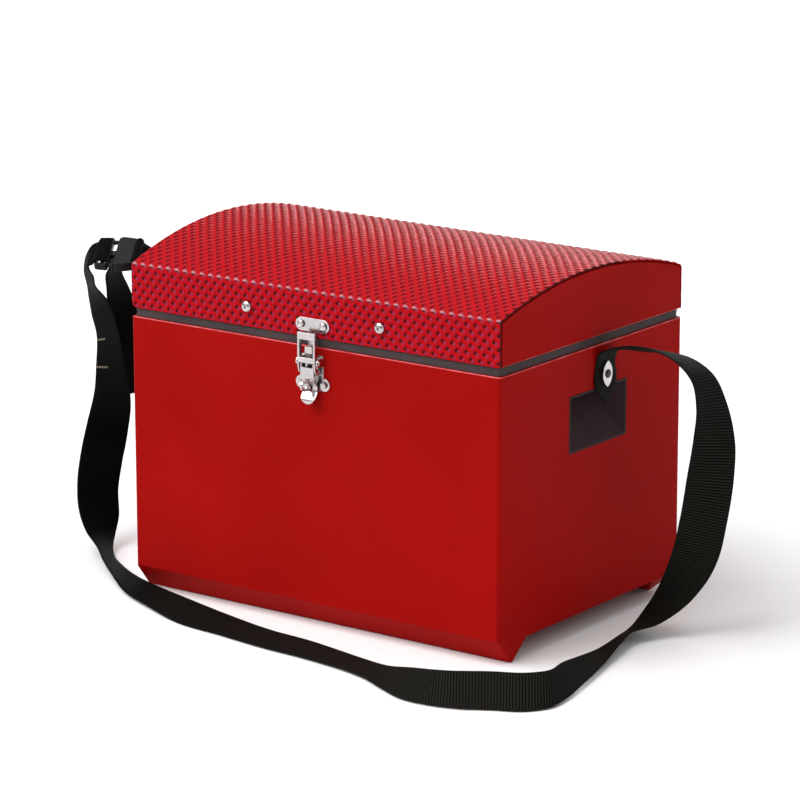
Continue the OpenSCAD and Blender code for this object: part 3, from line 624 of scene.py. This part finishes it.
def grains(x, s):
    """Staggered leaning grains at places across and along the cover.

    Gives their height, 0 to 1, and for the painted light a value from 0 at a grain's lower end (painted
    shade) to 1 at its upper end (painted highlight).
    """
    best = np.zeros(x.shape)
    grain_light = np.full(x.shape, 0.5)
    row = np.floor(s / ROW)
    for k in (-1, 0, 1, 2):
        r = row + k
        dx = x - np.mod(r, 2) * PITCH / 2
        dx = dx - np.round(dx / PITCH) * PITCH
        ds = s - r * ROW
        for side in (-1, 0, 1):
            ax = dx - side * PITCH
            u = (ax * math.cos(GRAIN_LEAN) + ds * math.sin(GRAIN_LEAN)) / GRAIN_WIDE
            v = (ds * math.cos(GRAIN_LEAN) - ax * math.sin(GRAIN_LEAN)) / GRAIN_LONG
            h = np.clip(1 - u ** 2 - v ** 2, 0, 1) ** 0.7
            here = h > best
            grain_light = np.where(here, 0.5 + 0.62 * v * np.clip(h * 2.2, 0, 1), grain_light)
            best = np.maximum(best, h)
    return best, grain_light


def lid_form(x, y, z):
    """Shape the lid has taken in use: fuller towards its left end, with that end's lower edge rounded."""
    z += LIFT * share((z - CREASE_Z) / (LID_HI[2] - CREASE_Z)) * share((HALF_W - x) / (2 * HALF_W))
    inset = min(max(HALF_W + x, 0), CORNER_R)
    arc = CORNER_R - math.sqrt(CORNER_R ** 2 - (CORNER_R - inset) ** 2)
    return x, y, z + arc * (1 - share((z - LID_LO[2]) / CORNER_FADE))


def lid_cover():
    """The textured sheet over the lid, one mesh with its back and its cut ends."""
    prof = cover_profile()
    run = np.concatenate([[0], np.cumsum(np.linalg.norm(np.diff(prof[:, :2], axis=0), axis=1))])
    nx = COVER_COLUMNS
    xs = np.linspace(-HALF_W, HALF_W, nx + 1)
    rows = len(prof)
    X, S = np.meshgrid(xs, run)
    h, grain_light = grains(X, S)
    # the painted light on the dome's grains is weaker than on the front's, and the grains along the front
    # crease get a painted glint
    grain_light = 0.5 + (grain_light - 0.5) * np.where(prof[:, 1:2] > CREASE_Z, 0.72, 1.0)
    crease = run[np.argmax(prof[:, 1] > CREASE_Z)]
    crease_glint = np.exp(-((S - crease) / (0.9 * MM)) ** 2) * np.clip(h * 1.1, 0, 1)
    # the grains fade out at the hems, and the sheet is pressed flat along its ends
    hem = np.minimum(S, run[-1] - S)
    end = HALF_W - np.abs(X)
    fade = np.clip(hem / (3.0 * MM), 0, 1) * np.clip(end / (1.5 * MM), 0, 1)
    h = h * fade
    out = (h - 0.55) * GRAIN_H
    verts = np.zeros((rows, nx + 1, 3))
    verts[..., 0] = X
    verts[..., 1] = BOX_Y + prof[:, None, 0] + prof[:, None, 2] * out
    verts[..., 2] = prof[:, None, 1] + prof[:, None, 3] * out
    # a fine wave along each end, where the sheet was cut by hand
    rng = np.random.default_rng(11)
    for end_col, sign in ((0, 1), (nx, -1)):
        verts[:, end_col, 0] += sign * np.abs(rng.normal(0, 0.18, rows)) * MM
    w = nx + 1
    pts = verts.reshape(-1, 3).tolist()
    faces = [(i * w + j, i * w + j + 1, (i + 1) * w + j + 1, (i + 1) * w + j)
             for i in range(rows - 1) for j in range(nx)]
    inner = len(pts)
    for i in range(rows):
        y, z, ny, nz = prof[i]
        for x in (-HALF_W, HALF_W):
            pts.append((x, BOX_Y + y - ny * SHEET_T, z - nz * SHEET_T))
    for i in range(rows - 1):
        a = inner + 2 * i
        faces.append((a, a + 2, a + 3, a + 1))
        faces.append((i * w, (i + 1) * w, a + 2, a))
        faces.append((i * w + nx, a + 1, a + 3, (i + 1) * w + nx))
    last = (rows - 1) * w
    half = nx // 2
    for j in range(nx):
        faces.append((inner + (j >= half), j + 1, j))
        faces.append((inner + 2 * rows - 2 + (j >= half), last + j, last + j + 1))
    faces.append((inner, inner + 1, half))
    faces.append((inner + 2 * rows - 1, inner + 2 * rows - 2, last + half))
    me = bpy.data.meshes.new("lid_cover_piece")
    me.from_pydata([lid_form(*p) for p in pts], [], faces)
    me.update()
    float_layer(me, "crease_glint", np.concatenate([crease_glint.reshape(-1), np.zeros(len(pts) - inner)]))
    float_layer(me, "grain_light", np.concatenate([grain_light.reshape(-1), np.full(len(pts) - inner, 0.5)]))
    # near black band along both ends of the sheet, from the front to past the top of the dome
    end_band = np.clip(1 - (HALF_W - np.abs(X)) / (1.3 * MM), 0, 1)
    end_band = end_band * np.clip((55 * MM - prof[:, :1]) / (20 * MM), 0, 1)
    float_layer(me, "end_band", np.concatenate([end_band.reshape(-1), np.repeat(end_band[:, 0], 2)]))
    obj = bpy.data.objects.new("lid_cover_piece", me)
    bpy.context.collection.objects.link(obj)
    finish_with(obj, "red_vinyl", 70)
    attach(obj, "lid")
    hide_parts("lid_cover")
    return obj


lid_cover()


# ---------- shells, liners and hidden parts ----------

# Section of the seal: inset from the shell's face, height above the rim, in mm
SEAL = [(2.2, 0.1), (2.0, 1.6), (2.4, 3.6), (2.0, 6.0), (2.6, 7.4), (6.4, 7.4), (7.0, 6.0), (7.0, 0.1)]
SEAL_STEPS = 4            # round each corner


def rim_seal():
    """Soft dark strip on the rim that the lid closes on."""
    bm = bmesh.new()
    rings = []
    for inset, z in SEAL:
        r = (5.0 - inset * 0.4) * MM
        w, d = HALF_W - inset * MM - r, HALF_D - inset * MM - r
        ring = []
        for sx, sy in ((-1, -1), (1, -1), (1, 1), (-1, 1)):
            for t in range(SEAL_STEPS + 1):
                a = math.atan2(sy, sx) + math.pi / 2 * (t / SEAL_STEPS - 0.5)
                place = (sx * w + r * math.cos(a), BOX_Y + sy * d + r * math.sin(a), BODY_TOP + z * MM)
                ring.append(bm.verts.new(place))
        rings.append(ring)
    for lo, hi in zip(rings, rings[1:] + rings[:1]):
        for k in range(len(lo)):
            n = (k + 1) % len(lo)
            bm.faces.new((lo[k], lo[n], hi[n], hi[k]))
    return object_of("rim_seal", bm, "box", "gasket", 40)


WALL = 3.5 * MM           # reach of the shell's wall from its outer face
SKID_TOP = 30 * MM        # the underside and the skids lie below this
HOLE_FACE = 1.2e-6        # square metres: the walls of the round holes are narrower faces than this


def outer_edge(e):
    """True for the shell's own long edges, not for its rivet holes or its inside."""
    for v in e.verts:
        x, y = abs(v.co.x), abs(v.co.y - BOX_Y)
        if x < HALF_W - WALL and y < HALF_D - WALL and v.co.z > SKID_TOP:
            return False
    a, b = (v.co for v in e.verts)
    long = (a - b).length
    if min(a.y, b.y) > BOX_Y + HALF_D - 1 * MM and long < 0.5 * MM:
        return False
    return long > 0.32 * MM or a.z > BODY_TOP - 1 * MM


def body_shell():
    """Outer shell with rounded edges, and a painted highlight on the rounded edges of its rim."""
    bm = cad_bmesh("body_shell")
    holes = set()
    for f in bm.faces:
        if f.calc_area() < HOLE_FACE:
            holes.update(f.edges)
    edge = round_edges(bm, 0.9 * MM, 3, keep=lambda e: e not in holes and outer_edge(e))
    # the rounded rim edges take the painted edge highlight
    rim = [f for f in edge if f.is_valid and f.calc_center_median().z > BODY_TOP - 1 * MM]
    return object_of("body_shell_piece", bm, "box", "red_moulding", 35, ("body_shell",), rim)


body_shell()
rim_seal()
for node_name, width in (("inner_liner", 1.0), ("grip_cup_left", 0.5), ("grip_cup_right", 0.5),
                         ("rim_gasket", 0.8), ("lid_liner", 1.0)):
    rounded_node(node_name, width * MM, 3)


def lid_shell():
    """Shell under the cover: rounded along the rear corner, and shaped as the cover is."""
    bm = cad_bmesh("lid_shell")

    def rear_corner(e):
        a, b = (v.co for v in e.verts)
        along_x = abs(a.y - b.y) < 1e-5 and abs(a.z - b.z) < 1e-5 and abs(a.x - b.x) > 1 * MM
        high = a.y > BOX_Y + HALF_D - 4 * MM and a.z > CREASE_Z - 4 * MM
        return along_x and high and max(abs(a.x), abs(b.x)) > HALF_W - 1 * MM

    def end_edge(e):
        return all(abs(v.co.x) > HALF_W - 0.1 * MM for v in e.verts)
    round_edges(bm, REAR_R - 1.4 * MM, 5, 20, rear_corner)
    for a in (20, 35, 50, 65, 78, 90):
        cut_at(bm, (-HALF_W + CORNER_R * (1 - math.cos(math.radians(a))), 0, 0), (1, 0, 0))
    cut_at(bm, (0, 0, LID_LO[2] + CORNER_FADE), (0, 0, 1))
    for v in bm.verts:
        v.co = lid_form(*v.co)
    edge = round_edges(bm, 0.6 * MM, 2, keep=end_edge)
    # the rounded lower edges of the end panels take the painted edge highlight
    edge = [f for f in edge if f.is_valid and f.calc_center_median().z < LID_LO[2] + 1 * MM]
    return object_of("lid_shell_piece", bm, "lid", "red_moulding", 30, ("lid_shell",), edge)


lid_shell()
for node_name in ("body_foam", "lid_foam", "anchor_washers", "hinge_pin"):
    finish_with(NODES[node_name], SLOT_OF[node_name])


# ---------- hinge and latch ----------

for node_name, width in (("hinge_leaf_body", 0.3), ("hinge_leaf_lid", 0.3), ("latch_base", 0.25),
                         ("latch_claw", 0.3), ("latch_keeper", 0.3),
                         ("lever_pin", 0.2), ("claw_pin", 0.2)):
    rounded_node(node_name, width * MM, 2)


NECK_AT = 13.0            # height of the neck above the lever's lower end, in mm
NECK_REACH = 10.0         # how far above and below it the bend goes, in mm
NECK_DIP = 5.0 * MM


def latch_lever():
    """The lever, with its neck pressed in towards the box and its tongue kicked out for a finger."""
    bm = cad_bmesh("latch_lever")
    round_edges(bm, 0.25 * MM, 2, 50)
    lo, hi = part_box("latch_lever")
    for z in np.arange(lo[2] + 1 * MM, hi[2] - 8 * MM, 1 * MM):
        cut_at(bm, (0, 0, z), (0, 0, 1))
    for v in bm.verts:
        up = (v.co.z - lo[2]) / MM
        v.co.y += NECK_DIP * max(0.0, 1 - ((up - NECK_AT) / NECK_REACH) ** 2) ** 2
    return object_of("latch_lever_piece", bm, "lever", "bright_steel", 35, ("latch_lever",))


latch_lever()
for node_name in ("hinge_rivets_body", "hinge_rivets_lid"):
    rounded_node(node_name, 0.2 * MM, 2, least_deg=40)


def centres_of(node, axis):
    """Centres of a node's separate solids, as seen along one axis."""
    bm = bmesh.new()
    bm.from_mesh(NODES[node].data)
    bmesh.ops.remove_doubles(bm, verts=bm.verts, dist=2e-6)
    left, out = set(bm.verts), []
    while left:
        seed = [left.pop()]
        group = list(seed)
        while seed:
            for e in seed.pop().link_edges:
                for v in e.verts:
                    if v in left:
                        left.discard(v)
                        seed.append(v)
                        group.append(v)
        lo = [min(v.co[k] for v in group) for k in range(3)]
        hi = [max(v.co[k] for v in group) for k in range(3)]
        c = [(a + b) / 2 for a, b in zip(lo, hi)]
        c[abs(axis) - 1] = hi[abs(axis) - 1] if axis > 0 else lo[abs(axis) - 1]
        out.append((tuple(c), hi[abs(axis) - 1] - lo[abs(axis) - 1]))
    bm.free()
    return sorted(out)


def front_rivets(node, head, shank_r=1.5 * MM):
    """Rivets in the front face with turned heads: head is (radius, height above the sheet's face), in mm."""
    profile = [(r * MM, h * MM) for r, h in head]
    bm = bmesh.new()
    for tip, deep in centres_of(node, -2):
        dimple = profile[0][1]
        end = dimple - deep
        tail_r = shank_r + 1.3 * MM
        tail = [(shank_r, 0.0), (shank_r, end + 2.4 * MM), (tail_r, end + 2.0 * MM), (tail_r, end + 0.6 * MM),
                (0, end + 0.6 * MM)]
        lathe(bm, profile + tail, (tip[0], tip[1] + dimple, tip[2]), (0, -1, 0))
    return object_of(node + "_piece", bm, body_of(node), SLOT_OF[node], 40, (node,))


# Domed head with a small deep dimple in the middle
front_rivets("lid_rivets", [(0, 0.15), (1.05, 0.2), (1.2, 1.6), (1.5, 2.15), (2.0, 2.15), (3.2, 1.8),
                            (4.2, 1.2), (4.8, 0.55), (5.0, 0.1), (4.9, 0.0)])
# Tubular heads: a rolled ring round a hollow
for rivet_node, ring_r in (("keeper_rivets", 3.5), ("latch_base_rivets", 3.1)):
    front_rivets(rivet_node, [(0, 0.35), (1.0, 0.4), (1.35, 0.75), (1.7, 1.25), (2.2, 1.4), (2.8, 1.15),
                              (ring_r, 0.45), (ring_r, 0.1), (ring_r * 0.96, 0.0)])


# ---------- anchors ----------

def anchors():
    """The strap's anchor plates and their rivets: a painted head outside, a formed tail on the washer."""
    for node_name in ("anchor_plate_left", "anchor_plate_right"):
        rounded_node(node_name, 0.45 * MM, 3)
    head = 1.6
    bm = bmesh.new()
    for sign in (-1, 1):
        for tip, deep in centres_of("anchor_rivets", sign):
            if tip[0] * sign < 0:
                continue
            tail = -deep / MM
            profile = [(0, head - 0.5), (0.9, head - 0.45), (1.3, head), (2.4, head - 0.05),
                       (3.4, head - 0.6), (3.95, 0.25), (3.8, 0), (2.45, 0), (2.45, tail + 3.2),
                       (3.9, tail + 3.2), (3.9, tail + 1.7), (0, tail + 1.7)]
            lathe(bm, [(r * MM, h * MM) for r, h in profile], (tip[0] - sign * head * MM, tip[1], tip[2]),
                  (sign, 0, 0))
    object_of("anchor_rivets_piece", bm, "box", "black_paint", 40, ("anchor_rivets",))


anchors()


# ---------- buckle ----------

BUCKLE_AT = Vector((-333 * MM, -5 * MM + BOX_Y, 269 * MM))
BUCKLE_TURN = Matrix.Rotation(math.radians(30), 3, "Z") @ Matrix.Rotation(math.radians(20.7), 3, "X")
BUCKLE_HALF_L = 22 * MM
# The web behind the lower gap, in the buckle's own frame: size and middle, in mm
WEB_SIZE = (8, 17, 2)
WEB_AT = (-4.0, -11.5, -1.6)


def from_buckle(x, y, z):
    """A place in the buckle's own frame, in mm, as a station's place about the box's centre."""
    p = BUCKLE_AT + BUCKLE_TURN @ Vector((x * MM, y * MM, z * MM))
    return p.x / MM, (p.y - BOX_Y) / MM, p.z / MM


def wrap(name, places, width):
    """Webbing threaded through one end of the buckle."""
    across = tuple(BUCKLE_TURN @ Vector((0, width, 0)))
    piece, *_ = webbing_piece(name, [from_buckle(x, 0, z) + across for x, z in places], None)
    return piece


def buckle():
    """Socket and prongs with rounded corners and slightly arched outlines, and the webbing through them."""
    back = BUCKLE_TURN.inverted()
    flat = BUCKLE_TURN @ Vector((0, 0, 1))

    def upright(e):
        a, b = (v.co for v in e.verts)
        far = abs((back @ (a - BUCKLE_AT)).y) > 23.5 * MM
        return far and abs((a - b).normalized().dot(flat)) > 0.99
    pieces = []
    for node_name, corner in (("buckle_socket", 4.0), ("buckle_prongs", 2.6)):
        bm = cad_bmesh(node_name)
        round_edges(bm, corner * MM, 5, 60, upright)
        for x in range(-20, 24, 3):
            cut_at(bm, BUCKLE_AT + BUCKLE_TURN @ Vector((x * MM, 0, 0)), BUCKLE_TURN @ Vector((1, 0, 0)))
        for v in bm.verts:
            q = back @ (v.co - BUCKLE_AT)
            out = q.x / BUCKLE_HALF_L
            q.y *= 1 - (0.19 if out > 0 else 0.13) * out ** 2
            v.co = BUCKLE_AT + BUCKLE_TURN @ q
        round_edges(bm, 0.8 * MM, 3)
        if node_name == "buckle_prongs":
            for v in bmesh.ops.create_cube(bm, size=1)["verts"]:
                q = Vector([(c * size + at) * MM for c, size, at in zip(v.co, WEB_SIZE, WEB_AT)])
                v.co = BUCKLE_AT + BUCKLE_TURN @ q
        pieces.append(object_of(node_name + "_piece", bm, "box", "black_plastic", 40, (node_name,)))
    strap_turn = [(-18.6, 2.6), (-17.5, 4.6), (-14, 5.0), (-9, 4.9), (-7.2, 4.2), (-6.8, 2.2), (-7.6, 0),
                  (-8.6, -2.4), (-9.6, -5.2)]
    stub_turn = [(23.4, 1.2), (22.6, 4.4), (20.6, 5.8), (18.6, 5.6), (17.6, 3.6), (17.8, 0.6),
                 (18.2, -2.4), (19.6, -5.4), (22.2, -5.6)]
    return pieces + [wrap("strap_wrap", strap_turn, 39), wrap("stub_wrap", stub_turn, 38)]


shoulder_strap(buckle())


# ---------- stage ----------

def area_light(name, at, aim, size, power):
    """Rectangular lamp at a place, pointed at another."""
    data = bpy.data.lights.new(name, "AREA")
    data.shape = "RECTANGLE"
    data.size, data.size_y = size
    data.energy = power
    lamp = bpy.data.objects.new(name, data)
    lamp.location = at
    lamp.rotation_euler = (Vector(aim) - Vector(at)).to_track_quat("-Z", "Y").to_euler()
    bpy.context.collection.objects.link(lamp)


def sun_light(name, energy, spread_deg, towards):
    """Soft sun that shines in a direction."""
    data = bpy.data.lights.new(name, "SUN")
    data.energy = energy
    data.angle = math.radians(spread_deg)
    lamp = bpy.data.objects.new(name, data)
    lamp.rotation_euler = Vector(towards).to_track_quat("-Z", "Y").to_euler()
    bpy.context.collection.objects.link(lamp)


FLOOR_R = 30.0
FLOOR_DROP = 0.6 * MM     # the floor lies this far below the part, so that no faces share a place


def stage():
    """Plain pale floor, a world that is darker low down, and soft lights."""
    me = bpy.data.meshes.new("floor")
    r = FLOOR_R
    me.from_pydata([(-r, -r, 0), (r, -r, 0), (r, r, 0), (-r, r, 0)], [], [(0, 1, 2, 3)])
    floor = bpy.data.objects.new("floor", me)
    floor.location = (0, 0, -FLOOR_DROP)
    bpy.context.collection.objects.link(floor)
    s = Shader("floor_paint", (0.86, 0.86, 0.86), 0.8, spec=0.1)
    s.color(s.mix(s.noise(3, 2), (0.85, 0.85, 0.85), (0.88, 0.88, 0.88)))
    me.materials.append(s.mat)
    world = bpy.data.worlds.new("studio")
    world.use_nodes = True
    tree = world.node_tree
    coord = tree.nodes.new("ShaderNodeTexCoord")
    split = tree.nodes.new("ShaderNodeSeparateXYZ")
    ramp = tree.nodes.new("ShaderNodeValToRGB")
    tree.links.new(coord.outputs["Generated"], split.inputs["Vector"])
    tree.links.new(split.outputs["Z"], ramp.inputs["Fac"])
    low, high = ramp.color_ramp.elements
    low.position, low.color = 0.02, (0.16, 0.16, 0.17, 1)
    high.position, high.color = 0.75, (1.0, 1.0, 1.0, 1)
    tree.links.new(ramp.outputs["Color"], tree.nodes["Background"].inputs["Color"])
    tree.nodes["Background"].inputs["Strength"].default_value = 0.75
    bpy.context.scene.world = world
    sun_light("key", 3.0, 55, (0.35, 0.52, -0.78))
    sun_light("fill", 0.32, 60, (-1, 0.1, -0.35))
    area_light("glint", (-1.35, 2.9, 0.95), (0, 0, 0.3), (1.8, 0.25), 13)
    bpy.context.scene.view_settings.view_transform = "Standard"


stage()
